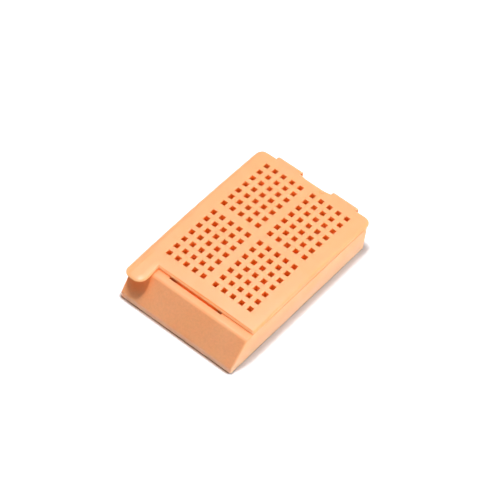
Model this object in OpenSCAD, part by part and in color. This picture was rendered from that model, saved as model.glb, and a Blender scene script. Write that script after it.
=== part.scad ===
// Tissue cassette: a shallow moulded box with a perforated floor, a cross divider that makes four
// specimen compartments, a sloped front face to write on, and a perforated snap lid on a film hinge.
// Millimetres. +Z is up, the sloped face looks to -Y, and the width runs along X.
// The origin is the middle of the footprint, on the surface that the cassette stands on.

/* [Base] */
// Outside width at the rim
base_w = 28; // [24:0.1:36]
// Height of the rim, which is also the height of the ledge in front of the lid
rim_h = 6.3; // [5.6:0.1:9]
// Inward draft of the side and back walls from the rim down to the foot
draft = 0.25; // [0:0.05:0.9]
// Radius of the back corners at the rim
corner_r = 1.6; // [1:0.1:3]
// Thickness of the side and back walls at the rim
wall = 1.2; // [0.9:0.05:1.6]
// Thickness of the wall between the compartments and the hollow behind the slope
front_wall = 0.9; // [0.7:0.05:1.4]
// Thickness of the two crossing dividers
divider = 0.9; // [0.6:0.05:1.4]
// Distance of the dividers' crossing behind the middle of the compartments
cross_shift = 0.175; // [-1:0.025:1]
// Gap between the top of the dividers and the closed lid
divider_gap = 0.1; // [0.05:0.05:0.5]
// Radius of the corners inside each compartment
pocket_r = 0.8; // [0.3:0.1:2]
// Height of the floor's underside above the foot
floor_lift = 0.6; // [0.3:0.05:1]
// Thickness of the floor
floor_t = 1; // [0.6:0.05:1.4]
// Width of the foot that runs round under the floor
foot_w = 1; // [0.7:0.05:1.5]

/* [Writing slope] */
// Depth of the flat ledge between the lid's front edge and the slope
ledge = 1.8; // [1.2:0.05:3]
// Depth of the slope, seen from above
slope_run = 4.15; // [3:0.05:8]
// Height of the upright land at the foot of the slope
land_h = 1.25; // [0.8:0.05:2.5]
// Thickness of the slope's skin and of the ledge
slope_t = 1; // [0.7:0.05:1.3]

/* [Lid] */
// Length of the lid from its front edge to its back edge, without the thumb tab
lid_len = 35.4; // [28:0.1:45]
// Thickness of the lid at its front and back edges
lid_t = 0.7; // [0.5:0.05:1.2]
// Height of the lid's arched top in the middle, above its front and back edges
lid_crown = 0.55; // [0.1:0.05:1]
// Width of the thumb tab at the front left corner
tab_w = 4.7; // [3:0.1:8]
// Length of the thumb tab beyond the lid's front edge
tab_len = 5.15; // [3:0.1:5.8]
// Radius of the thumb tab's corners
tab_r = 1.9; // [0.5:0.05:2.2]
// Depth of the shallow step in the lid's back edge between the hinge straps
back_step = 0.35; // [0:0.05:0.6]
// Thickness of the rib under the lid that locates it inside the walls
rib_t = 0.7; // [0.5:0.05:1.2]
// Depth of that rib below the lid
rib_h = 0.8; // [0.4:0.05:1.5]
// Clearance between the rib and the walls
rib_gap = 0.2; // [0.1:0.05:0.4]

/* [Holes] */
// Side of each square hole in the lid and in the floor
hole = 1; // [0.5:0.05:1.3]
// Spacing of the holes inside a block
pitch = 2.13; // [1.7:0.01:3]
// Extra spacing between the blocks, over the dividers
block_gap = 0.9; // [0.6:0.05:1.5]

/* [Hinge] */
// Distance from the middle of the cassette to the middle of each hinge strap
strap_x = 6.9; // [5:0.1:9]
// Width of each hinge strap
strap_w = 6.05; // [3:0.05:8]
// Outer radius of the strap's loop behind the back wall
strap_r = 1; // [0.6:0.05:1.2]
// Thickness of the strap
strap_t = 0.45; // [0.3:0.05:0.6]

/* [Latch] */
// Width of the slot in the ledge
slot_w = 12.8; // [6:0.1:18]
// How far the slot reaches in front of the lid
slot_show = 0.35; // [0.25:0.05:0.8]
// Gap at each end between the latch tongue and the slot
tongue_side_gap = 1.5; // [0.3:0.1:3]
// Thickness of the latch tongue
tongue_t = 0.7; // [0.5:0.05:0.9]
// Length of the latch tongue below the lid
tongue_drop = 2.1; // [1.8:0.1:3]
// How far the latch's barb catches under the lip
barb_catch = 0.15; // [0.05:0.05:0.3]
// Clearance of the barb below the ledge and of the tongue behind
latch_clear = 0.15; // [0.1:0.05:0.3]

/* [Gate mark] */
// Radius of the shallow dimple that the moulding gate leaves in the lid
gate_r = 0.55; // [0.3:0.05:1]
// Depth of the dimple
gate_d = 0.12; // [0.05:0.01:0.3]
// Distance of the dimple to the right of the middle
gate_x = 2.25; // [-3:0.05:3]
// Distance of the dimple from the lid's back edge
gate_back = 1.1; // [0.95:0.05:1.4]

/* [Hidden] */
$fn = 48;
eps = 0.01;
plastic = [0.99, 0.75, 0.53];

// Lengthwise places, from the foot of the slope to the outside of the straps
y_foot = -(slope_run + ledge + lid_len + strap_r) / 2;
y_slope = y_foot + slope_run;
y_lid = y_slope + ledge;
y_back = y_lid + lid_len;

// Heights
z_floor = floor_lift + floor_t;
z_divider = rim_h - divider_gap;
z_hinge = rim_h + lid_t;
z_top = z_hinge + lid_crown;

// Latch and front wall
y_lip = y_lid - slot_show;
y_front_wall = y_lid + tongue_t + latch_clear;
tongue_w = slot_w - 2 * tongue_side_gap;

// Inside of the tray and the crossing of the dividers
x_rim = base_w / 2;
x_in = x_rim - wall;
y_pocket = y_front_wall + front_wall;
y_in = y_back - wall;
y_cross = (y_pocket + y_in) / 2 + cross_shift;

// How many holes fit between a divider and the lid's rib: across, along the front and along the back compartments
function holes_in(space) = floor((space - (block_gap + hole - pitch) / 2 - rib_gap - rib_t) / pitch);
cols = holes_in(x_in);
front_rows = holes_in(y_cross - y_pocket);
back_rows = holes_in(y_in - y_cross);

// The arched top is part of a flattened cylinder across the lid, of this half length and this height ratio
crown_half = 30;
crown_flat = lid_crown / (crown_half - sqrt(pow(crown_half, 2) - pow(lid_len / 2, 2)));

// A block from one corner to the opposite one
module block(a, b) translate(a) cube(b - a);

// A profile drawn as [y, z] points, carried across the cassette from x0 to x1
module across(points, x0, x1)
    translate([x0, 0, 0]) rotate([90, 0, 90]) linear_extrude(x1 - x0) polygon(points);

// A block with upright corners rounded to radius r
module rounded_block(a, b, r) {
    block([a.x + r, a.y, a.z], [b.x - r, b.y, b.z]);
    block([a.x, a.y + r, a.z], [b.x, b.y - r, b.z]);
    for (x = [a.x + r, b.x - r], y = [a.y + r, b.y - r])
        translate([x, y, a.z]) cylinder(h = b.z - a.z, r = r);
}

// The middle of each hole along one line, counted away from the crossing on each side of a divider
function hole_places(low_count, high_count) = concat(
    [for (i = [low_count - 1 : -1 : 0]) -block_gap / 2 - (i + 0.5) * pitch],
    [for (i = [0 : high_count - 1]) block_gap / 2 + (i + 0.5) * pitch]);

// The square holes of all four blocks, from height z0 to z1
module hole_grid(z0, z1)
    for (x = hole_places(cols, cols), y = hole_places(front_rows, back_rows))
        translate([x - hole / 2, y_cross + y - hole / 2, z0]) cube([hole, hole, z1 - z0]);

// The outside of the tray: drafted walls, and back corners that are cones
module tray_outside() {
    inner_x = x_rim - corner_r;
    inner_y = y_back - corner_r;
    translate([0, inner_y, 0]) rotate([90, 0, 0]) linear_extrude(inner_y - y_foot)
        polygon([[-x_rim + draft, 0], [x_rim - draft, 0], [x_rim, rim_h], [-x_rim, rim_h]]);
    across([[y_foot, 0], [y_back - draft, 0], [y_back, rim_h], [y_foot, rim_h]], -inner_x, inner_x);
    for (x = [-inner_x, inner_x])
        translate([x, inner_y, 0]) cylinder(h = rim_h, r1 = corner_r - draft, r2 = corner_r);
}

// What is cut off in front of the writing slope
module slope_cut()
    across([[y_foot - 1, land_h], [y_foot, land_h], [y_slope, rim_h], [y_slope, rim_h + 1],
            [y_foot - 1, rim_h + 1]], -x_rim - 1, x_rim + 1);

// The hollow behind the slope, open to the underside
module slope_hollow() {
    run = y_slope - y_foot;
    rise = rim_h - land_h;
    skin = slope_t * norm([run, rise]) / rise;
    y_land_in = y_foot + slope_t;
    z_land_in = land_h + (y_land_in - y_foot - skin) * rise / run;
    y_ledge_in = y_slope + skin - slope_t * run / rise;
    across([[y_land_in, -1], [y_land_in, z_land_in], [y_ledge_in, rim_h - slope_t],
            [y_front_wall, rim_h - slope_t], [y_front_wall, -1]], -x_in, x_in);
}

// The four compartments, two on each side of both dividers, drawn smaller by a gap on every side
module compartments(gap, z0, z1) {
    inset = divider / 2 + gap;
    for (x = [[-x_in + gap, -inset], [inset, x_in - gap]],
         y = [[y_pocket + gap, y_cross - inset], [y_cross + inset, y_in - gap]])
        rounded_block([x[0], y[0], z0], [x[1], y[1], z1], max(pocket_r - gap, 0.1));
}

// The shallow recess under the floor, inside the foot
module floor_recess() {
    x_recess = x_rim - draft - foot_w;
    block([-x_recess, y_pocket, -1], [x_recess, y_back - draft - foot_w, floor_lift]);
}

// One hinge strap: a loop that leaves the back wall and turns up and over to the lid's top edge
module hinge_strap() {
    z_loop = z_hinge - strap_r;
    difference() {
        translate([-strap_w / 2, y_back, z_loop]) rotate([0, 90, 0]) cylinder(h = strap_w, r = strap_r);
        translate([-strap_w / 2 - 1, y_back, z_loop]) rotate([0, 90, 0])
            cylinder(h = strap_w + 2, r = strap_r - strap_t);
        block([-strap_w / 2 - 1, y_back - strap_r - 1, z_loop - strap_r - 1],
              [strap_w / 2 + 1, y_back, z_loop + strap_r + 1]);
    }
    block([-strap_w / 2, y_back - wall / 2, z_loop - strap_r],
          [strap_w / 2, y_back, z_loop - strap_r + strap_t]);
}

// The tray with its dividers, slope, latch slot and hinge straps
module base() color(plastic) {
    difference() {
        tray_outside();
        slope_cut();
        slope_hollow();
        compartments(0, z_floor, rim_h + 1);
        floor_recess();
        hole_grid(-1, z_floor + 1);
        block([-slot_w / 2, y_lip, rim_h - slope_t - eps], [slot_w / 2, y_front_wall, rim_h + 1]);
        block([-x_in, y_pocket, z_divider], [x_in, y_in, rim_h + 1]);
    }
    for (side = [-1, 1]) translate([side * strap_x, 0, 0]) hinge_strap();
}

// The outline of the lid's plate with its thumb tab, as a block from the rim up
module lid_outline(height) {
    inner_x = x_rim - corner_r;
    inner_y = y_back - corner_r;
    top = rim_h + height;
    block([-x_rim, y_lid, rim_h], [x_rim, inner_y, top]);
    block([-inner_x, y_lid, rim_h], [inner_x, y_back, top]);
    for (x = [-inner_x, inner_x]) translate([x, inner_y, rim_h]) cylinder(h = height, r = corner_r);
    block([-x_rim, y_lid - tab_len + tab_r, rim_h], [-x_rim + tab_w, y_lid + eps, top]);
    block([-x_rim + tab_r, y_lid - tab_len, rim_h], [-x_rim + tab_w - tab_r, y_lid, top]);
    for (x = [-x_rim + tab_r, -x_rim + tab_w - tab_r])
        translate([x, y_lid - tab_len + tab_r, rim_h]) cylinder(h = height, r = tab_r);
}

// The plate of the lid: flat below, arched above, level with its front edge along the tab
module lid_plate()
    intersection() {
        lid_outline(lid_t + lid_crown + 1);
        union() {
            translate([-x_rim - 1, y_lid + lid_len / 2, z_top - crown_half * crown_flat])
                scale([1, 1, crown_flat]) rotate([0, 90, 0])
                    cylinder(h = base_w + 2, r = crown_half, $fn = 200);
            block([-x_rim - 1, y_lid - tab_len - 1, rim_h - 1], [x_rim + 1, y_lid + 1, z_hinge]);
        }
    }

// The rib under the lid that drops inside the walls, broken where it passes over the dividers
module lid_rib() {
    inset = rib_gap + rib_t;
    difference() {
        compartments(rib_gap, rim_h - rib_h, rim_h);
        block([-x_in + inset, y_pocket + inset, rim_h - rib_h - 1],
              [x_in - inset, y_in - inset, rim_h + 1]);
    }
}

// The tongue that passes through the slot in the ledge and catches under its front lip
module latch_tongue() {
    z_barb = rim_h - slope_t - latch_clear;
    z_end = rim_h - tongue_drop;
    across([[y_lid, rim_h + eps], [y_lid, z_barb], [y_lip - barb_catch, z_barb],
            [y_lid + latch_clear, z_end], [y_lid + tongue_t, z_end], [y_lid + tongue_t, rim_h + eps]],
           -tongue_w / 2, tongue_w / 2);
}

// The lid: perforated plate, thumb tab, locating rib and latch tongue
module lid() color(plastic)
    difference() {
        union() {
            lid_plate();
            lid_rib();
            latch_tongue();
        }
        hole_grid(rim_h - 1, z_top + 1);
        block([-strap_x + strap_w / 2, y_back - back_step, rim_h - 1],
              [strap_x - strap_w / 2, y_back + 1, z_top]);
        translate([gate_x, y_back - gate_back, z_hinge + 0.05 - gate_d]) cylinder(h = lid_crown + 1, r = gate_r);
    }

base();
lid();
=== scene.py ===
# %% [markdown]
# # A tissue cassette in Blender
# A tissue cassette is a small plastic box that holds a piece of tissue while it is soaked in one bath after another.
# Liquid runs through the square holes in its lid and floor. It is one moulding: the lid hangs on two thin straps at the
# back and snaps shut at the front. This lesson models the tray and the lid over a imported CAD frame, which gives the
# places and sizes, then finishes the plastic and lights it.

# %% The frame
import math

import bmesh
import bpy
from mathutils import Euler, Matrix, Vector


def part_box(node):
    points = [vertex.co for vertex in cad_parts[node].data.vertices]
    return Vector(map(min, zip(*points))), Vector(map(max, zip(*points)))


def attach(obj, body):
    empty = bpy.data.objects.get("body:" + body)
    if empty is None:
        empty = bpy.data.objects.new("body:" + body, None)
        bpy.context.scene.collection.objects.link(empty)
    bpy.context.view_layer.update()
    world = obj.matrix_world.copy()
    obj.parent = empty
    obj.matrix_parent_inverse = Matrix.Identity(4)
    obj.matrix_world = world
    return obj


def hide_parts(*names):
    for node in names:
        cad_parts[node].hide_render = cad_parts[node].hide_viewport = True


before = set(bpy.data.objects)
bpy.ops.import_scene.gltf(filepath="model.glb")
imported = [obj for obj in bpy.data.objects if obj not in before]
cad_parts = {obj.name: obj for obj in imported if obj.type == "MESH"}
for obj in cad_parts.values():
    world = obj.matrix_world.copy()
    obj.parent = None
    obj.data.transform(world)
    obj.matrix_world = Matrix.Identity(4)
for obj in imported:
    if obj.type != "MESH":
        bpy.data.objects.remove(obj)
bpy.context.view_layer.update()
base_low, base_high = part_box("base")
lid_low, lid_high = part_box("lid")

# %% [markdown]
# ## Sizes
# Blender works in metres, and this object is described in millimetres, so one constant turns one into the other. What
# the frame's boxes can tell is read from them. The rest are the moulding's own sizes, each written once.

# %% Sizes of the moulding
MM = 0.001
half_width = base_high.x
foot_y = base_low.y                      # front foot of the slope
back_y = lid_high.y                      # back wall, and the lid's back edge
strap_radius = base_high.y - back_y
hinge_z = base_high.z                    # top of the straps and of the lid's back edge
crown_z = lid_high.z                     # highest point of the lid
tab_y = lid_low.y                        # end of the thumb tab
tongue_z = lid_low.z                     # lower end of the latch tongue
lid_edge = 0.7 * MM                      # thickness of the lid at its back edge
lid_length = 35.4 * MM
ledge_length = 1.8 * MM
rim_z = hinge_z - lid_edge               # top of the walls, and underside of the lid
lid_front_y = back_y - lid_length
ledge_y = lid_front_y - ledge_length     # where the slope begins
land_z = 1.25 * MM                       # top of the upright land at the foot
wall = 1.2 * MM
half_in = half_width - wall              # inner faces of the side walls
back_in_y = back_y - wall                # inner face of the back wall
front_wall_y = lid_front_y + 0.85 * MM   # front face of the wall behind the hollow
front_wall = 0.9 * MM
pocket_front_y = front_wall_y + front_wall
divider = 0.9 * MM
cross_shift = 0.175 * MM                 # how far behind the middle the dividers cross
cross_y = (pocket_front_y + back_y - wall) / 2 + cross_shift
floor_low_z, floor_high_z = 0.6 * MM, 1.6 * MM
print("rim", rim_z, "lid front", lid_front_y, "crossing", cross_y)

# %% [markdown]
# ## Small helpers
# An operator works on whatever is selected, so most mistakes in scripted modelling are mistakes of selection. These
# helpers start each primitive from a clean selection, and pick faces, edges or points by where they are.

# %% Helpers for selecting
def clear_selection():
    if bpy.context.object and bpy.context.object.mode != "OBJECT":
        bpy.ops.object.mode_set(mode="OBJECT")
    bpy.ops.object.select_all(action="DESELECT")


def use(obj):
    """Make obj the only selected object, and the active one."""
    clear_selection()
    obj.select_set(True)
    bpy.context.view_layer.objects.active = obj


def edit(obj):
    """Open obj, and only obj, in edit mode."""
    use(obj)
    bpy.ops.object.mode_set(mode="EDIT")


def leave_edit():
    bpy.ops.object.mode_set(mode="OBJECT")


def pick(kind, test):
    """In edit mode, select the faces, edges or verts that pass the test, and nothing else. Returns how many."""
    bpy.ops.mesh.select_mode(type={"verts": "VERT", "edges": "EDGE", "faces": "FACE"}[kind])
    bpy.ops.mesh.select_all(action="DESELECT")
    mesh = bmesh.from_edit_mesh(bpy.context.object.data)
    chosen = [item for item in getattr(mesh, kind) if test(item)]
    for item in chosen:
        item.select_set(True)
    mesh.select_flush_mode()
    bmesh.update_edit_mesh(bpy.context.object.data)
    return len(chosen)


def centre(face):
    return face.calc_center_median()


def middle(edge):
    return (edge.verts[0].co + edge.verts[1].co) / 2


def along(edge):
    return (edge.verts[1].co - edge.verts[0].co).normalized()


def near(a, b, tolerance=0.01 * MM):
    return abs(a - b) < tolerance


# %% [markdown]
# The next ones wrap the operators that come back most often: a cut by a plane, an extrusion, a box between two
# corners, and a boolean whose tool is thrown away. After each boolean a line is printed with the number of open edges,
# because a mesh that isn't closed spoils the next one.

# %% Helpers for shaping
def cut_along(point, normal, clear=False, only=None):
    """Bisect by a plane: everything, or only the faces that pass a test. With clear, what lies on the normal's side
    is removed and the cut is closed."""
    if only:
        pick("faces", only)
    else:
        bpy.ops.mesh.select_all(action="SELECT")
    bpy.ops.mesh.bisect(plane_co=point, plane_no=Vector(normal).normalized(), threshold=0.001 * MM,
                        use_fill=clear, clear_outer=clear)


def extrude(shift):
    """Extrude what is selected, and move the new part by shift."""
    bpy.ops.mesh.extrude_region_move(TRANSFORM_OT_translate={"value": shift})


def point_outwards():
    """Turn all faces of the open mesh outwards."""
    bpy.ops.mesh.select_all(action="SELECT")
    bpy.ops.mesh.normals_make_consistent(inside=False)


def box(name, low, high):
    """A cube primitive brought to its corners, with its place applied to its mesh."""
    clear_selection()
    low, high = Vector(low), Vector(high)
    bpy.ops.mesh.primitive_cube_add(size=1, location=(low + high) / 2)
    made = bpy.context.object
    made.name = name
    made.scale = high - low
    bpy.ops.object.transform_apply(location=True, rotation=True, scale=True)
    return made


def round_upright_edges(piece, radius, segments):
    edit(piece)
    pick("edges", lambda e: abs(along(e).z) > 0.99)
    bpy.ops.mesh.bevel(offset=radius, segments=segments)
    leave_edit()


def measured(piece):
    """The number of faces and of edges that don't join exactly two faces, and the volume."""
    mesh = bmesh.new()
    mesh.from_mesh(piece.data)
    loose = sum(1 for e in mesh.edges if len(e.link_faces) != 2)
    volume = mesh.calc_volume(signed=True) / MM ** 3
    mesh.free()
    return f"{piece.name}: {len(piece.data.polygons)} faces, {loose} open edges, {volume:.1f} mm3"


def combine(piece, tool, operation):
    """Unite piece with tool or cut tool from it, then delete the tool."""
    use(piece)
    step = piece.modifiers.new("Combine", "BOOLEAN")
    step.operation, step.object, step.solver = operation, tool, "EXACT"
    bpy.ops.object.modifier_apply(modifier=step.name)
    bpy.data.objects.remove(tool)
    print(operation.lower(), measured(piece))


# %% [markdown]
# ## Where the holes are
# Both grilles have the same holes, so that liquid can run straight through. They stand in four blocks of five by
# seven, and the gaps between the blocks lie over the crossed dividers.

# %% The hole pattern
hole = 1.0 * MM
pitch = 2.13 * MM
block_gap = 0.9 * MM
block_columns, block_rows = 5, 7


def line_of_holes(count):
    steps = [block_gap / 2 + (i + 0.5) * pitch for i in range(count)]
    return [-s for s in reversed(steps)] + steps


hole_xs = line_of_holes(block_columns)
hole_ys = [cross_y + y for y in line_of_holes(block_rows)]
print(len(hole_xs) * len(hole_ys), "holes")

# %% [markdown]
# ## The lid's sheet
# The lid could be a box with 140 cuts, but the lips of its holes are slightly rounded and its top is arched, and both
# are easier on a tidy grid. So it starts as a flat sheet. Its outline comes first: a sheet as long as the lid and its
# thumb tab together loses the part beside the tab.

# %% Cut the outline
tab_width = 4.7 * MM
tab_x = -half_width + tab_width
clear_selection()
bpy.ops.mesh.primitive_plane_add(size=1, location=(0, (tab_y + back_y) / 2, rim_z))
lid = bpy.context.object
lid.name = "perforated_lid"
lid.scale = (2 * half_width, back_y - tab_y, 1)
bpy.ops.object.transform_apply(location=True, rotation=True, scale=True)

edit(lid)
cut_along((0, lid_front_y, 0), (0, 1, 0))
cut_along((tab_x, 0, 0), (1, 0, 0), only=lambda f: centre(f).y < lid_front_y)
pick("faces", lambda f: centre(f).y < lid_front_y and centre(f).x > tab_x)
bpy.ops.mesh.delete(type="FACE")
bpy.ops.mesh.select_all(action="SELECT")
bpy.ops.mesh.dissolve_faces()
print("outline points", len(bmesh.from_edit_mesh(lid.data).verts))

# %% [markdown]
# A bisect along each side of each row of holes leaves one small face per hole, and those faces are deleted. The cuts
# that run lengthwise stop short of the front margin. If they ran past the inner corner beside the tab, the bevel that
# rounds the rim later would have no clean place to turn.

# %% Cut the holes
cuts_x = sorted(x + side * hole / 2 for x in hole_xs for side in (-1, 1))
cuts_y = sorted(y + side * hole / 2 for y in hole_ys for side in (-1, 1))
for y in cuts_y:
    cut_along((0, y, 0), (0, 1, 0))
for x in cuts_x:
    cut_along((x, 0, 0), (1, 0, 0), only=lambda f: centre(f).y > cuts_y[0])


def over_hole(face):
    c = centre(face)
    return any(near(c.x, x, 0.3 * MM) for x in hole_xs) and any(near(c.y, y, 0.3 * MM) for y in hole_ys)


print("hole faces", pick("faces", over_hole))
bpy.ops.mesh.delete(type="FACE")

# %% [markdown]
# The corners are rounded in the plane of the sheet, while each is still a single point. Between the two hinge straps
# the back edge is set in a little, in a soft curve. The straps' own ends are marked with a cut each.

# %% Round the corners and set in the back edge
strap_x, strap_width = 6.9 * MM, 6.05 * MM
strap_ends = (strap_x - strap_width / 2, strap_x + strap_width / 2)
rim_round = 0.42 * MM
tab_corner, back_corner = 1.9 * MM, 1.6 * MM
set_in, set_in_run = 0.35 * MM, 1.6 * MM


def round_corner(x, y, radius, segments):
    pick("verts", lambda v: near(v.co.x, x) and near(v.co.y, y))
    bpy.ops.mesh.bevel(affect="VERTICES", offset=radius, segments=segments)


round_corner(-half_width, tab_y, tab_corner, 10)
round_corner(tab_x, tab_y, tab_corner, 10)
round_corner(half_width, lid_front_y, rim_round + 0.05 * MM, 4)
round_corner(-half_width, back_y, back_corner, 8)
round_corner(half_width, back_y, back_corner, 8)
for x in [side * end for end in strap_ends for side in (-1, 1)] + [0]:
    cut_along((x, 0, 0), (1, 0, 0), only=lambda f: centre(f).y > cuts_y[-1])
for vert in bmesh.from_edit_mesh(lid.data).verts:
    if near(vert.co.y, back_y):
        rise = min(1, max(0, (strap_ends[0] - abs(vert.co.x)) / set_in_run))
        vert.co.y -= set_in * rise * rise * (3 - 2 * rise)
leave_edit()
print("sheet", len(lid.data.vertices), "points,", len(lid.data.polygons), "faces")

# %% [markdown]
# ## The lid's thickness and its soft edges
# Injection moulding leaves no knife edges. The sheet is extruded to its thickness, then the lips of the holes get a
# very small bevel, which catches light as a pale line, and the lid's outer rim a large round one. The two sorts of edge
# are told apart by whether they stand beside a hole. Where a strap joins the back edge, the rim isn't rounded.

# %% Thicken the sheet and bevel it
lip_round, underside_round = 0.1 * MM, 0.24 * MM


def is_top(item):
    return min(v.co.z for v in item.verts) > rim_z + 0.3 * MM


def beside_hole(edge):
    c = middle(edge)
    reach = hole / 2 + 0.02 * MM
    return any(abs(c.x - x) < reach for x in hole_xs) and any(abs(c.y - y) < reach for y in hole_ys)


def between_top_and_side(edge):
    if len(edge.link_faces) != 2:
        return False
    a, b = (abs(f.normal.z) for f in edge.link_faces)
    return max(a, b) > 0.7 and min(a, b) < 0.3


def under_strap(edge):
    c = middle(edge)
    return near(c.y, back_y) and strap_ends[0] < abs(c.x) < strap_ends[1]


edit(lid)
bpy.ops.mesh.select_all(action="SELECT")
extrude((0, 0, hinge_z - rim_z))
point_outwards()
lips = pick("edges", lambda e: between_top_and_side(e) and beside_hole(e) and is_top(e))
bpy.ops.mesh.bevel(offset=lip_round, segments=2)
rim = pick("edges", lambda e: between_top_and_side(e) and not beside_hole(e) and is_top(e) and not under_strap(e))
bpy.ops.mesh.bevel(offset=rim_round, segments=5)
pick("edges", lambda e: between_top_and_side(e) and not beside_hole(e) and not is_top(e))
bpy.ops.mesh.bevel(offset=underside_round, segments=2)
leave_edit()
print(lips, "lip edges,", rim, "rim edges")
print(measured(lid))

# %% [markdown]
# ## More faces on the top
# The top is about to be bent, and a face bends only where it has points. The front margin and the thumb tab are still
# one wide face, so it gets three inset rings and six cuts. At its right corner the rim's bevel has left a bunch of
# points almost on one another, which an inset would turn inside out, so they are merged first. The long edges bend
# most, so four more cuts beside each of them run along the whole top.

# %% Divide the top
bunch = 0.13 * MM                                    # how close together the points to merge lie
ring_width = 0.34 * MM
front_cuts_mm = (-6.5, -3.2, 0, 3.2, 6.5, 9.8)
edge_cuts_mm = (12.0, 12.5, 12.9, 13.25)


def on_top(face):
    return face.normal.z > 0.99 and centre(face).z > hinge_z - 0.01 * MM


def in_front(face):
    return face.normal.z > 0.99 and centre(face).y < cuts_y[0]


edit(lid)
pick("verts", lambda v: near(v.co.x, half_width - rim_round, bunch) and near(v.co.z, hinge_z)
     and near(v.co.y, lid_front_y + rim_round, bunch))
bpy.ops.mesh.merge(type="CENTER")
for ring in range(3):
    pick("faces", lambda f: in_front(f) and len(f.verts) > 20)
    bpy.ops.mesh.inset(thickness=ring_width)
for x in front_cuts_mm:
    cut_along((x * MM, 0, 0), (1, 0, 0), only=in_front)
for x in edge_cuts_mm:
    for side in (-1, 1):
        cut_along((side * x * MM, 0, 0), (1, 0, 0), only=on_top)
leave_edit()
print(measured(lid))

# %% [markdown]
# ## The arch of the top
# A flat lid would warp as it cools in the mould, so real lids are slightly arched, lengthwise more than crosswise. The
# two long edges fall a little further, in a narrow band, and the thumb tab rolls off towards its rim. A small rule
# gives the top's height at any place, and every point is moved in proportion to its height above the underside, so
# that the underside stays flat.

# %% Arch the top
half_length = 17.7 * MM
end_fall, side_fall = 0.55 * MM, 0.2 * MM
edge_fall, edge_band = 0.2 * MM, 1.3 * MM
tab_fall, tab_band, tab_run = 0.32 * MM, 1.7 * MM, 1.2 * MM


def inside_tab(x, y):
    """Distance from a point in the thumb tab to its rounded outline."""
    qx = abs(x - (tab_x - half_width) / 2) - (tab_width / 2 - tab_corner)
    qy = (tab_y + tab_corner) - y
    outside = math.hypot(max(qx, 0), max(qy, 0)) + min(max(qx, qy), 0) - tab_corner
    return max(-outside, 0)


def top_height(x, y):
    lengthwise = (max(y, lid_front_y) - cross_y) / half_length
    at_edge = max(0, 1 - (half_width - abs(x)) / edge_band)
    height = crown_z - end_fall * lengthwise ** 2 - side_fall * (x / half_width) ** 2 - edge_fall * at_edge ** 2
    if y < lid_front_y and x < tab_x + 0.01 * MM:
        roll = max(0, 1 - inside_tab(x, y) / tab_band) * min(1, (lid_front_y - y) / tab_run)
        height -= tab_fall * roll ** 2
    return height


for vert in lid.data.vertices:
    share = (vert.co.z - rim_z) / (hinge_z - rim_z)
    vert.co.z = rim_z + share * (top_height(vert.co.x, vert.co.y) - rim_z)
print("lid top reaches", max(v.co.z for v in lid.data.vertices), "of", crown_z)
print(measured(lid))

# %% [markdown]
# ## The rib below the lid
# A low rib drops just inside the walls and keeps the closed lid from sliding. It is a ring, broken where it passes over
# the dividers. A ring is quickest as one box cut out of another, so here booleans earn their place.

# %% Make the rib and join it to the lid
gap, rib_width, rib_depth = 0.2 * MM, 0.7 * MM, 0.8 * MM
overlap = 0.1 * MM                       # how far the rib reaches into the lid, so that the two unite cleanly
rib_low = Vector((-half_in + gap, pocket_front_y + gap, rim_z - rib_depth))
rib_high = Vector((half_in - gap, back_in_y - gap, rim_z + overlap))

locating_rib = box("rib", rib_low, rib_high)
round_upright_edges(locating_rib, 0.3 * MM, 3)
edit(locating_rib)
pick("edges", lambda e: all(near(v.co.z, rib_low.z) for v in e.verts))
bpy.ops.mesh.bevel(offset=0.15 * MM, segments=2)
leave_edit()
inset, past = Vector((rib_width, rib_width, 0)), Vector((0, 0, MM))
combine(locating_rib, box("middle", rib_low + inset - past, rib_high - inset + past), "DIFFERENCE")
notch = divider / 2 + gap
above_rim = 1.1 * rim_z
combine(locating_rib, box("long", (-notch, foot_y, 0), (notch, back_y, above_rim)), "DIFFERENCE")
combine(locating_rib, box("cross", (-half_width, cross_y - notch, 0), (half_width, cross_y + notch, above_rim)),
        "DIFFERENCE")
combine(lid, locating_rib, "UNION")

# %% [markdown]
# ## The latch tongue
# A springy tongue hangs from the lid's front edge and passes through a slot in the ledge. Its barb is pulled out of the
# lower half of the tongue: extrude the lower front face, then slide its bottom edge back to make the ramp that pushes
# the tongue aside as the lid closes.

# %% Extrude the tongue and its barb
tongue_half_width = 4.9 * MM
tongue_front_y, tongue_back_y = lid_front_y + 0.03 * MM, lid_front_y + 0.7 * MM
barb_z = rim_z - 1.15 * MM               # upper edge of the barb
barb_reach = 0.5 * MM
tongue = box("tongue", (-tongue_half_width, tongue_front_y, barb_z),
             (tongue_half_width, tongue_back_y, rim_z + 0.25 * MM))
edit(tongue)
pick("faces", lambda f: f.normal.z < -0.9)
extrude((0, 0, tongue_z - barb_z))
pick("faces", lambda f: f.normal.y < -0.9 and centre(f).z < barb_z)
extrude((0, -barb_reach, 0))
pick("verts", lambda v: near(v.co.z, tongue_z) and v.co.y < lid_front_y - 0.1 * MM)
bpy.ops.transform.translate(value=(0, barb_reach, 0))
bpy.ops.mesh.select_all(action="SELECT")
bpy.ops.mesh.remove_doubles(threshold=0.01 * MM)
point_outwards()
pick("edges", lambda e: abs(along(e).x) > 0.99 and middle(e).z < barb_z + 0.01 * MM)
bpy.ops.mesh.bevel(offset=0.08 * MM, segments=2)
leave_edit()
combine(lid, tongue, "UNION")

# %% [markdown]
# ## The gate mark
# Hot plastic enters the mould through a gate, and it leaves a shallow dimple where it was snapped off. A flattened ball
# sunk a little way into the lid cuts one.

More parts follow.
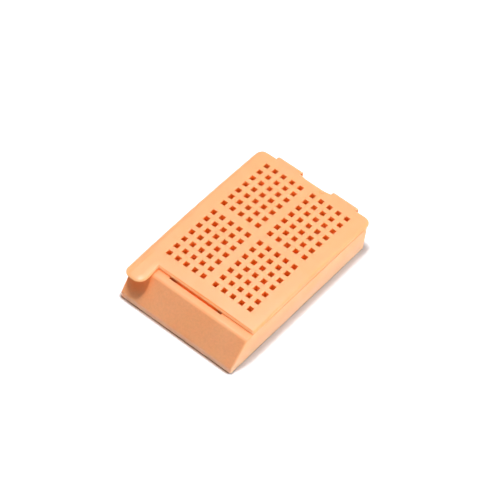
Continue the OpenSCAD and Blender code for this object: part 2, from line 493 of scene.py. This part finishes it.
# %% Cut the dimple
gate_x, gate_y = 2.25 * MM, back_y - 1.05 * MM
ball_radius, flattened, ball_lift = 0.62 * MM, 0.45, 0.18 * MM
clear_selection()
bpy.ops.mesh.primitive_uv_sphere_add(segments=24, ring_count=12, radius=ball_radius)
ball = bpy.context.object
ball.scale = (1, 1, flattened)
ball.location = (gate_x, gate_y, hinge_z + ball_lift)
bpy.ops.object.transform_apply(location=True, rotation=True, scale=True)
combine(lid, ball, "DIFFERENCE")

# %% [markdown]
# ## The tray's outside
# The tray starts as a box. Its foot is drawn in a little, because a moulding needs draft to leave its mould, and its
# two back corners are rounded. A single bisect that clears its outer side cuts the sloped writing face.

# %% Shape the outside
tray = box("perforated_tray", (-half_width, foot_y, 0), (half_width, back_y, rim_z))
draft = 0.25 * MM
tray_corner = 2.2 * MM
length = back_y - foot_y
slope_out = (0, land_z - rim_z, ledge_y - foot_y)
edit(tray)
pick("verts", lambda v: near(v.co.z, 0))
bpy.ops.transform.resize(value=((half_width - draft) / half_width, (length - draft) / length, 1),
                         center_override=(0, foot_y, 0))
pick("edges", lambda e: abs(along(e).z) > 0.9 and middle(e).y > back_y - MM)
bpy.ops.mesh.bevel(offset=tray_corner, segments=10)
cut_along((0, foot_y, land_z), slope_out, clear=True)
point_outwards()
leave_edit()
print(measured(tray))

# %% [markdown]
# The outside edges are rounded before the inside is cut, so that the bevels meet only simple corners. Each has the
# radius it has on a real cassette: large on the brow between ledge and slope, medium elsewhere, and very small at the
# foot. The rim below the lid stays sharp.

# %% Round the outside
brow_round, edge_round, foot_round = 0.5 * MM, 0.38 * MM, 0.08 * MM


def sharp(edge):
    return edge.calc_face_angle(0) > math.radians(25)


def on_brow(edge):
    return near(middle(edge).z, rim_z) and near(middle(edge).y, ledge_y)


def under_lid(edge):
    return near(middle(edge).z, rim_z) and middle(edge).y > ledge_y + 0.6 * MM


edit(tray)
brow = pick("edges", on_brow)
bpy.ops.mesh.bevel(offset=brow_round, segments=5)
outer = pick("edges", lambda e: sharp(e) and middle(e).z > 0.1 * MM and not under_lid(e))
bpy.ops.mesh.bevel(offset=edge_round, segments=4)
foot = pick("edges", lambda e: sharp(e) and near(middle(e).z, 0))
bpy.ops.mesh.bevel(offset=foot_round, segments=2)
leave_edit()
print(brow, "brow edge,", outer, "outside edges,", foot, "foot edges rounded")
print(measured(tray))

# %% [markdown]
# ## Hollowing the tray
# The mould's core leaves four compartments, a hollow behind the slope and a shallow recess under the floor. Each is a
# box shaped like the space it leaves, taken away with a boolean.

# %% Cut the compartments and the recess
foot_ring = draft + MM                   # from the outside of the box to the inner edge of the foot it stands on
pocket_corner = 0.5 * MM
half_divider = divider / 2
divider_z = rim_z - 0.1 * MM             # top of the dividers
combine(tray, box("recess", (-half_width + foot_ring, pocket_front_y, -MM),
                  (half_width - foot_ring, back_y - foot_ring, floor_low_z)), "DIFFERENCE")
for low_x, high_x in ((-half_in, -half_divider), (half_divider, half_in)):
    for low_y, high_y in ((pocket_front_y, cross_y - half_divider), (cross_y + half_divider, back_in_y)):
        pocket = box("pocket", (low_x, low_y, floor_high_z), (high_x, high_y, rim_z + MM))
        round_upright_edges(pocket, pocket_corner, 4)
        combine(tray, pocket, "DIFFERENCE")
combine(tray, box("divider_top", (-half_in, pocket_front_y, divider_z), (half_in, back_in_y, rim_z + MM)),
        "DIFFERENCE")

# %% [markdown]
# The hollow follows the slope at an even depth, so its box loses its upper front corner to a plane that is parallel to
# the slope. The slot runs down through the ledge into the hollow, and the latch tongue hangs in it.

# %% Cut the hollow and the slot
hollow_front_y, hollow_front_z = foot_y + MM, 0.89 * MM
hollow = box("hollow", (-half_in, hollow_front_y, -MM), (half_in, front_wall_y, rim_z - MM))
edit(hollow)
cut_along((0, hollow_front_y, hollow_front_z), slope_out, clear=True)
leave_edit()
combine(tray, hollow, "DIFFERENCE")
slot_half_width, slot_depth = 6.4 * MM, 1.1 * MM
slot_front_y = lid_front_y - 0.35 * MM
combine(tray, box("slot", (-slot_half_width, slot_front_y, rim_z - slot_depth),
                  (slot_half_width, front_wall_y, rim_z + MM)), "DIFFERENCE")

# %% [markdown]
# ## The perforated floor
# One hole is modelled, two Array modifiers make it a block of five by seven, and three copies of the block stand across
# the dividers. The whole grille is then cut in one step.

# %% Cut the holes of the floor
first_x, first_y = hole_xs[block_columns], hole_ys[block_rows]
cutter = box("hole", (first_x - hole / 2, first_y - hole / 2, 0), (first_x + hole / 2, first_y + hole / 2, 2 * MM))
for count, step in ((block_columns, (pitch, 0, 0)), (block_rows, (0, pitch, 0))):
    array = cutter.modifiers.new("Row", "ARRAY")
    array.count, array.use_relative_offset, array.use_constant_offset = count, False, True
    array.constant_offset_displace = step
    bpy.ops.object.modifier_apply(modifier=array.name)
to_left, to_front = hole_xs[0] - first_x, hole_ys[0] - first_y
blocks = [cutter]
for shift in ((to_left, 0, 0), (0, to_front, 0), (to_left, to_front, 0)):
    block = cutter.copy()
    block.data = cutter.data.copy()
    bpy.context.collection.objects.link(block)
    block.name = "block"
    use(block)
    block.location = shift
    bpy.ops.object.transform_apply(location=True, rotation=True, scale=True)
    blocks.append(block)
use(cutter)
for block in blocks:
    block.select_set(True)
bpy.ops.object.join()
combine(tray, cutter, "DIFFERENCE")

# %% [markdown]
# ## The hinge straps
# Each strap leaves the back wall, turns up and over, and meets the lid's top edge, where it is thin enough to fold.
# A spin carries its rectangular section half way round a circle, and its lower end is then extruded into the wall. The
# lid's back edge follows the arch, so the upper half of each loop is bent by the same rule.

# %% Spin the straps
strap_thickness, strap_round = 0.45 * MM, 0.12 * MM
loop_z = hinge_z - strap_radius          # the loop's centre


def hinge_strap(x):
    clear_selection()
    bpy.ops.mesh.primitive_plane_add(size=1, location=(x, back_y, hinge_z - strap_thickness / 2),
                                     rotation=(math.pi / 2, 0, 0))
    strap = bpy.context.object
    strap.scale = (strap_width, strap_thickness, 1)
    bpy.ops.object.transform_apply(location=True, rotation=True, scale=True)
    edit(strap)
    bpy.ops.mesh.select_all(action="SELECT")
    bpy.ops.mesh.spin(steps=14, angle=math.pi, center=(x, back_y, loop_z), axis=(1, 0, 0))
    pick("faces", lambda f: near(centre(f).y, back_y) and centre(f).z < loop_z)
    extrude((0, -wall / 2, 0))
    point_outwards()
    pick("edges", lambda e: e.calc_face_angle(0) > math.radians(60) and abs(along(e).x) < 0.1
         and middle(e).y > back_y + 0.01 * MM)
    bpy.ops.mesh.bevel(offset=strap_round, segments=2)
    leave_edit()
    for vert in strap.data.vertices:
        share = max(0, (vert.co.z - loop_z) / strap_radius)
        vert.co.z += share * min(0, top_height(vert.co.x, back_y) - hinge_z)
    print(measured(strap))
    return strap


for x in (-strap_x, strap_x):
    combine(tray, hinge_strap(x), "UNION")
print("tray reaches from", min(v.co.y for v in tray.data.vertices), "to", max(v.co.y for v in tray.data.vertices))

# %% [markdown]
# ## Smooth where it bends, flat where it is flat
# Smooth shading by angle keeps real corners crisp. Wide flat faces next to a narrow bevel would still shade as if they
# were curved, so a Weighted Normal modifier lets the large faces decide.

# %% Shade both pieces
def shade(piece):
    use(piece)
    bpy.ops.object.shade_smooth_by_angle(angle=math.radians(35))
    weighted = piece.modifiers.new("Weighted", "WEIGHTED_NORMAL")
    weighted.keep_sharp = True
    bpy.ops.object.modifier_apply(modifier=weighted.name)
    print(measured(piece))


shade(lid)
shade(tray)

# %% [markdown]
# ## Helpers for nodes
# A material is a small program drawn as boxes and threads. Written out one box at a time it is long and hard to read,
# so each helper here places one kind of node and returns what it gives, and a material then reads like a formula. Any
# input takes either a plain value or another node's output.

# %% Helpers for nodes
def feed(tree, socket, source):
    """Link a node's output to a socket, or set the socket to a plain value."""
    if isinstance(source, bpy.types.NodeSocket):
        tree.links.new(source, socket)
    else:
        socket.default_value = source


def place_node(tree, kind, **settings):
    node = tree.nodes.new("ShaderNode" + kind)
    for name, value in settings.items():
        setattr(node, name, value)
    return node


def maths(tree, operation, *sources):
    node = place_node(tree, "Math", operation=operation)
    for socket, source in zip(node.inputs, sources):
        feed(tree, socket, source)
    return node.outputs["Value"]


def ramp(tree, value, start, end, low=0.0, high=1.0, kind="SMOOTHSTEP"):
    """Low up to start, high from end on, and a smooth or a LINEAR rise between them. End may lie below start."""
    node = place_node(tree, "MapRange", interpolation_type=kind)
    for name, source in (("Value", value), ("From Min", start), ("From Max", end), ("To Min", low), ("To Max", high)):
        feed(tree, node.inputs[name], source)
    return node.outputs["Result"]


def mix(tree, share, first, second, blend="MIX"):
    """A mix of two colours, or with MULTIPLY, the first colour multiplied by a share of the second."""
    node = place_node(tree, "Mix", data_type="RGBA", blend_type=blend)
    for name, source in (("Factor", share), ("A", first), ("B", second)):
        feed(tree, node.inputs[name], source)
    return node.outputs["Result"]


def noise(tree, position, scale, detail):
    node = place_node(tree, "TexNoise")
    for name, source in (("Vector", position), ("Scale", scale), ("Detail", detail)):
        feed(tree, node.inputs[name], source)
    return node.outputs["Fac"]


def parts(tree, vector):
    """A vector's X, Y and Z."""
    node = place_node(tree, "SeparateXYZ")
    tree.links.new(vector, node.inputs[0])
    return node.outputs


def openness(tree, reach, towards=None):
    """The share of what a point faces, or of what lies around a direction, that no surface within reach covers."""
    node = place_node(tree, "AmbientOcclusion", samples=8)
    feed(tree, node.inputs["Distance"], reach)
    if towards:
        direction = place_node(tree, "CombineXYZ")
        for socket, part in zip(direction.inputs, towards):
            socket.default_value = part
        tree.links.new(direction.outputs["Vector"], node.inputs["Normal"])
    return node.outputs["AO"]


# %% [markdown]
# The look of the plastic has a few sides, and each goes into a node group. A group is a node tree of its own with named
# inputs and outputs, and each material places it with its own values.

# %% Helpers for groups
def new_group(name, inputs, outputs):
    """An empty group. Returns it, what it is given and what it has to fill."""
    group = bpy.data.node_groups.new(name, "ShaderNodeTree")
    for label, kind, value in inputs:
        socket = group.interface.new_socket(label, in_out="INPUT", socket_type=kind)
        if value is not None:
            socket.default_value = value
    for label, kind in outputs:
        group.interface.new_socket(label, in_out="OUTPUT", socket_type=kind)
    return group, group.nodes.new("NodeGroupInput").outputs, group.nodes.new("NodeGroupOutput").inputs


def place_group(tree, group, values):
    """Place a group in a tree, with its inputs fed. Returns its outputs."""
    node = place_node(tree, "Group", node_tree=group)
    for name, source in values.items():
        feed(tree, node.inputs[name], source)
    return node.outputs


VECTOR, COLOUR, VALUE = "NodeSocketVector", "NodeSocketColor", "NodeSocketFloat"
peach = (0.8, 0.5, 0.3, 1)               # what a group's colour inputs start with

# %% [markdown]
# ## The plastic
# Acetal is a hard, slightly waxy plastic. Light enters it, scatters a millimetre or so and comes out again, which
# softens shadows and makes holes glow. Its surface has the fine matt of a spark-eroded mould. The first group makes
# that matt and the faint clouding of the colour. The clouds also change the roughness a little.

# %% The grain group
grain, given, result = new_group(
    "Moulded grain",
    [("Position", VECTOR, None), ("Colour", COLOUR, peach), ("Cloud colour", COLOUR, peach), ("Roughness", VALUE, 0.45),
     ("Grain per metre", VALUE, 4000.0)],
    [("Colour", COLOUR), ("Roughness", VALUE), ("Height", VALUE)])
clouds = ramp(grain, noise(grain, given["Position"], 160, 3), 0.35, 0.68, kind="LINEAR")
feed(grain, result["Colour"], mix(grain, clouds, given["Colour"], given["Cloud colour"]))
rougher = ramp(grain, clouds, 0, 1, -0.06, 0.06, kind="LINEAR")
feed(grain, result["Roughness"], maths(grain, "ADD", rougher, given["Roughness"]))
feed(grain, result["Height"], noise(grain, given["Position"], given["Grain per metre"], 2))
print("group", grain.name, len(grain.nodes), "nodes")

# %% [markdown]
# Acetal passes red light further than green or blue. Where faces look at one another from close by, as in the holes and
# under the thumb tab, light goes to and fro through the plastic and comes out a deep orange. A path tracer stops after
# a few bounces and loses most of that light. A second group paints a little of it back: a faint orange emission as
# painted glow, and a deepened base colour as painted shade in the holes and under the tab. It needs two measures. How
# much stands in front of the surface comes from an Ambient Occlusion node.
# How much hangs above it, as the thumb tab does above the slope, comes from a second one that looks straight up: what a
# surface of that tilt would see with nothing there, less what it does see. Faces that lie flat catch more of the light
# that falls through the holes than upright ones do. Near the foot the box stands open, so there the effect fades. Once
# the lid is open, the inside has nothing close in front of it, and most of the glow goes.

# %% The group for light kept in corners
kept, given, result = new_group(
    "Light kept in corners",
    [("Position", VECTOR, None), ("Reach", VALUE, 0.004), ("Glow", COLOUR, (0.1, 0.01, 0, 1)),
     ("Colour", COLOUR, peach)],
    [("Glow", COLOUR), ("Colour", COLOUR)])
clear_ahead = openness(kept, given["Reach"])
covered = ramp(kept, clear_ahead, 0.9, 0.25)
enclosed = ramp(kept, clear_ahead, 0.97, 0.55)

tilt = parts(kept, place_node(kept, "NewGeometry").outputs["Normal"])["Z"]
clear_if_alone = maths(kept, "MULTIPLY_ADD", tilt, 0.5, 0.5)
clear_above = openness(kept, 6 * MM, towards=(0, 0, 1))
roofed = ramp(kept, maths(kept, "SUBTRACT", clear_if_alone, clear_above), 0.04, 0.26)

height = parts(kept, given["Position"])["Z"]
above_foot = ramp(kept, height, 0.3 * MM, 1.6 * MM)
well_above = ramp(kept, height, 1.6 * MM, 5.5 * MM)
lying = ramp(kept, tilt, 0.0, 0.9, 0.25, 1.0)
# painted glow: an orange emission where the surface is covered close by or something hangs over it
lit_within = maths(kept, "MAXIMUM", covered, maths(kept, "MULTIPLY", roofed, 0.5))
lit_within = maths(kept, "MULTIPLY", maths(kept, "MULTIPLY", lit_within, above_foot), lying)
feed(kept, result["Glow"], mix(kept, lit_within, (0, 0, 0, 1), given["Glow"]))
# painted shade: the base colour deepened in holes, in enclosed corners and under what hangs over the surface
painted_shade = maths(kept, "MAXIMUM", maths(kept, "MULTIPLY", enclosed, well_above), roofed)
feed(kept, result["Colour"], mix(kept, painted_shade, given["Colour"], (1.0, 0.72, 0.5, 1), "MULTIPLY"))
print("group", kept.name, len(kept.nodes), "nodes")

# %% [markdown]
# The sloped face of the tray is for writing on in pencil, so its mould is etched coarser. The third group adds pits to
# the height, a little dullness to the colour and some roughness, all of it only where its mask is 1. The dullness
# darkens
# the whole face a little: partly the etching's own matt tone, partly painted shade on the sloped face.

# %% The group for the etched face
etching, given, result = new_group(
    "Etched writing face",
    [("Position", VECTOR, None), ("Mask", VALUE, 0.0), ("Colour", COLOUR, peach), ("Roughness", VALUE, 0.4),
     ("Height", VALUE, 0.5)],
    [("Colour", COLOUR), ("Roughness", VALUE), ("Height", VALUE)])
pits = noise(etching, given["Position"], 2400, 3)
# partly the etched face's own matt tone, partly painted shade that darkens the sloped face
dull_and_painted_shade = ramp(etching, pits, 0.3, 0.7, 0.90, 0.98, kind="LINEAR")
feed(etching, result["Colour"], mix(etching, given["Mask"], given["Colour"], dull_and_painted_shade, "MULTIPLY"))
feed(etching, result["Roughness"], maths(etching, "MULTIPLY_ADD", given["Mask"], 0.2, given["Roughness"]))
pit_depth = maths(etching, "MULTIPLY", given["Mask"], 1.2)
feed(etching, result["Height"], maths(etching, "MULTIPLY_ADD", pit_depth, pits, given["Height"]))
print("group", etching.name, len(etching.nodes), "nodes")

# %% [markdown]
# ## The two materials
# The lid and the tray come from one shot of plastic, but the lid's thin sheet looks a shade lighter and glows a little
# more, so each gets its own values: the lid's lighter colour is painted light, and its stronger glow painted glow. On
# the tray, the etched face is found by its place: the dot product of a point with the slope's direction says how far
# out the point lies, and only this face lies that far. Everywhere else the tray's colour gets a little lighter towards
# the foot. That is painted light, which stands in for the white surroundings that light a real foot more than this
# floor does.

# %% The two materials
grain_depth = 0.02 * MM


def plastic(name, colour, cloud, roughness, grain_per_metre, glow, etched=None):
    material = bpy.data.materials.new(name)
    material.use_nodes = True
    tree = material.node_tree
    shader = tree.nodes["Principled BSDF"].inputs
    shader["IOR"].default_value = 1.48
    shader["Specular IOR Level"].default_value = 0.5
    shader["Subsurface Weight"].default_value = 0.6
    shader["Subsurface Radius"].default_value = (1.0, 0.7, 0.5)
    shader["Subsurface Scale"].default_value = 1.0 * MM
    shader["Emission Strength"].default_value = 1.0
    position = place_node(tree, "TexCoord").outputs["Object"]
    finish = place_group(tree, grain, {
        "Position": position, "Colour": (*colour, 1), "Cloud colour": (*cloud, 1), "Roughness": roughness,
        "Grain per metre": grain_per_metre})
    colour_seen = finish["Colour"]
    if etched:
        point, out = Vector(etched[0]), Vector(etched[1]).normalized()
        level = point.dot(out)
        how_far_out = place_node(tree, "VectorMath", operation="DOT_PRODUCT")
        feed(tree, how_far_out.inputs[0], position)
        feed(tree, how_far_out.inputs[1], out)
        mask = ramp(tree, how_far_out.outputs["Value"], level - 0.08 * MM, level - 0.01 * MM, kind="LINEAR")
        finish = place_group(tree, etching, {
            "Position": position, "Mask": mask, "Colour": finish["Colour"], "Roughness": finish["Roughness"],
            "Height": finish["Height"]})
        # painted light: away from the etched face, the tray's colour turns lighter and cooler towards the foot
        low_down = ramp(tree, parts(tree, position)["Z"], 5 * MM, 0)
        painted_foot_light = maths(tree, "MULTIPLY", low_down, maths(tree, "SUBTRACT", 1, mask))
        colour_seen = mix(tree, painted_foot_light, finish["Colour"], (1.0, 1.1, 1.4, 1), "MULTIPLY")
    feed(tree, shader["Roughness"], finish["Roughness"])
    bump = place_node(tree, "Bump")
    bump.inputs["Distance"].default_value = grain_depth
    bump.inputs["Strength"].default_value = 0.5
    feed(tree, bump.inputs["Height"], finish["Height"])
    feed(tree, shader["Normal"], bump.outputs["Normal"])
    # The group adds painted glow as emission and painted shade in the base colour.
    light = place_group(tree, kept, {"Position": position, "Reach": 4 * MM, "Glow": (*glow, 1), "Colour": colour_seen})
    feed(tree, shader["Base Color"], light["Colour"])
    feed(tree, shader["Emission Color"], light["Glow"])
    print("material", name, len(tree.nodes), "nodes")
    return material


tray_plastic = plastic("Peach acetal, tray", (0.99, 0.44, 0.20), (0.98, 0.42, 0.18), 0.45, 3800,
                       (0.18, 0.052, 0.0017), etched=((0, foot_y, land_z), slope_out))
# painted light: the lid gets a shade lighter colour than the tray, and a stronger painted glow
lid_plastic = plastic("Peach acetal, lid", (0.99, 0.45, 0.205), (0.98, 0.43, 0.185), 0.43, 4200,
                      (0.44, 0.11, 0.0034))

# %% [markdown]
# Each finished piece gets its material, the CAD node that it stands for is hidden, and the piece is hung on the empty
# of the body it moves with.

# %% Tie the pieces to the frame
for piece, finish, node, body, slot in ((tray, tray_plastic, "base", "tray", "tray_plastic"),
                                        (lid, lid_plastic, "lid", "cover", "lid_plastic")):
    piece.data.materials.clear()
    piece.data.materials.append(finish)
    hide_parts(node)
    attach(piece, body)
    print(piece.name, "stands for", node, "and rides on", body)

# %% [markdown]
# ## The floor
# The box stands on a plain pale sheet. Away from it, the sheet glows for the camera and in reflections, so that it runs
# out to plain white. The sheet lies a hair below the foot. Within a millimetre of the front and left foot the sheet
# darkens to a thin dark line, a painted contact shadow. Only the camera sees that painted shadow, and the light that
# the sheet throws back onto the box stays as it is. The measure is an Ambient Occlusion node again, aimed upwards to
# the back right. In front of the box and on its left, the box fills that view. Behind it and on its right, it hardly
# shows.

# %% The floor
def shows_plainly(tree, rays):
    """1 for a ray from the camera, off a gloss or through something clear, and 0 for other light."""
    return maths(tree, "MAXIMUM", maths(tree, "MAXIMUM", rays["Is Camera Ray"], rays["Is Glossy Ray"]),
                 rays["Is Transmission Ray"])


painted_contact_shadow, sheet_colour = (0.37, 0.21, 0.14, 1), (0.93, 0.96, 1.0, 1)
clear_selection()
bpy.ops.mesh.primitive_plane_add(size=3, location=(0, 0, -0.05 * MM))
floor = bpy.context.object
floor.name = "pale_floor"
paper = bpy.data.materials.new("Pale paper")
paper.use_nodes = True
tree = paper.node_tree
shader = tree.nodes["Principled BSDF"].inputs
shader["Roughness"].default_value = 0.9
shader["Specular IOR Level"].default_value = 0.0
shader["Emission Color"].default_value = (1, 1, 1, 1)
rays = place_node(tree, "LightPath").outputs
distance = place_node(tree, "VectorMath", operation="LENGTH")
feed(tree, distance.inputs[0], place_node(tree, "TexCoord").outputs["Object"])
far_off = ramp(tree, distance.outputs["Value"], 0.05, 0.5, 0.08, 1.0)
# painted contact shadow: the sheet's glow and colour fade to a dark line where the box fills the view
in_the_open = ramp(tree, openness(tree, 0.85 * MM, towards=(0.6, 0.65, 0.47)), 0.5, 0.92)
feed(tree, shader["Emission Strength"],
     maths(tree, "MULTIPLY", maths(tree, "MULTIPLY", shows_plainly(tree, rays), far_off), in_the_open))
off_camera = maths(tree, "SUBTRACT", 1, rays["Is Camera Ray"])
feed(tree, shader["Base Color"],
     mix(tree, maths(tree, "MAXIMUM", in_the_open, off_camera), painted_contact_shadow, sheet_colour))
floor.data.materials.append(paper)
print("floor", paper.name, len(tree.nodes), "nodes")

# %% [markdown]
# ## The lamps
# A soft lamp overhead, a little behind and to the left, does most of the work and throws the narrow shadow on the
# right. A wide, cool one on the right fills the side wall. It is hidden from glossy rays: mirrored in the lid, it would
# whiten half of it in a low view.

# %% The lamps
def lamp(name, place, width, height, power, colour=(1, 1, 1)):
    clear_selection()
    bpy.ops.object.light_add(type="AREA", location=place)
    made = bpy.context.object
    made.name = name
    made.data.shape = "RECTANGLE"
    made.data.size, made.data.size_y = width, height
    made.data.energy = power
    made.data.color = colour
    made.rotation_euler = Vector(place).to_track_quat("Z", "Y").to_euler()
    print("lamp", name, power, "W")
    return made


lamp("overhead_softbox", (-0.08, 0.055, 0.60), 0.14, 0.14, 3.75)
side_fill = lamp("side_fill", (0.5, 0.2, 0.1), 0.4, 0.16, 2.3, (0.64, 0.88, 1.0))
side_fill.visible_glossy = False

# %% [markdown]
# ## The world
# The world fills in the rest, most of it from low down. It is dimmer from above, where the lamp is, and from the left,
# so that the left side stays in soft shade. What the camera sees directly, or a gloss mirrors, is plain white.

# %% The world
world = bpy.data.worlds.new("White room")
bpy.context.scene.world = world
world.use_nodes = True
tree = world.node_tree
room = tree.nodes["Background"]
room.inputs["Color"].default_value = (1, 1, 1, 1)
direction = parts(tree, place_node(tree, "TexCoord").outputs["Generated"])
from_low_down = ramp(tree, direction["Z"], 0.0, 0.7, 0.42, 0.05)
from_the_right = ramp(tree, direction["X"], -0.9, 0.2, 0.3, 1.0)
feed(tree, room.inputs["Strength"], maths(tree, "MULTIPLY", from_low_down, from_the_right))
white = place_node(tree, "Background")
white.inputs["Color"].default_value = (1, 1, 1, 1)
choice = place_node(tree, "MixShader")
feed(tree, choice.inputs[0], shows_plainly(tree, place_node(tree, "LightPath").outputs))
feed(tree, choice.inputs[1], room.outputs["Background"])
feed(tree, choice.inputs[2], white.outputs["Background"])
feed(tree, tree.nodes["World Output"].inputs["Surface"], choice.outputs["Shader"])
print("world", world.name, len(tree.nodes), "nodes")

# %% [markdown]
# ## The camera
# A long lens from well above the front right corner keeps the sides almost parallel, as in a catalogue picture.

# %% The camera
clear_selection()
bpy.ops.object.camera_add(location=(0.156564, -0.194919, 0.324678))
camera = bpy.context.object
camera.rotation_euler = Euler([math.radians(a) for a in (38.0329, -1.2983, 40.3489)], "XYZ")
camera.data.lens = 153.2
camera.data.sensor_width = 36
camera.data.shift_x, camera.data.shift_y = -0.001, 0.001
bpy.context.scene.camera = camera
bpy.context.scene.view_settings.view_transform = "Standard"
print("camera stands", round(camera.location.length, 3), "m away")
